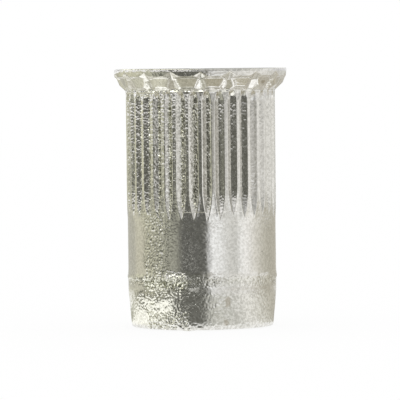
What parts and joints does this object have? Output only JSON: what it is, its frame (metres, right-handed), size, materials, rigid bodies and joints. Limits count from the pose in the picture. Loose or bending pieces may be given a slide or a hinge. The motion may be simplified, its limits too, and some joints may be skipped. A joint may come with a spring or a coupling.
{
  "type": "rivet nut",
  "caption": "Open-end knurled rivet nut with a small flared head, a V-grooved sleeve, a smooth threaded shank and a tapered foot.",
  "frame": {"origin": "centre of the open foot, on the plane that the foot stands on", "axes": "+Z along the bore, from the foot to the head's face"},
  "size_m": [0.0104, 0.0104, 0.0157],
  "materials": {
    "zinc_steel": "zinc plated, slightly yellowed, cold-formed grain"
  },
  "bodies": {
    "root": {"rivet_nut": "zinc_steel"}
  },
  "joints": []
}
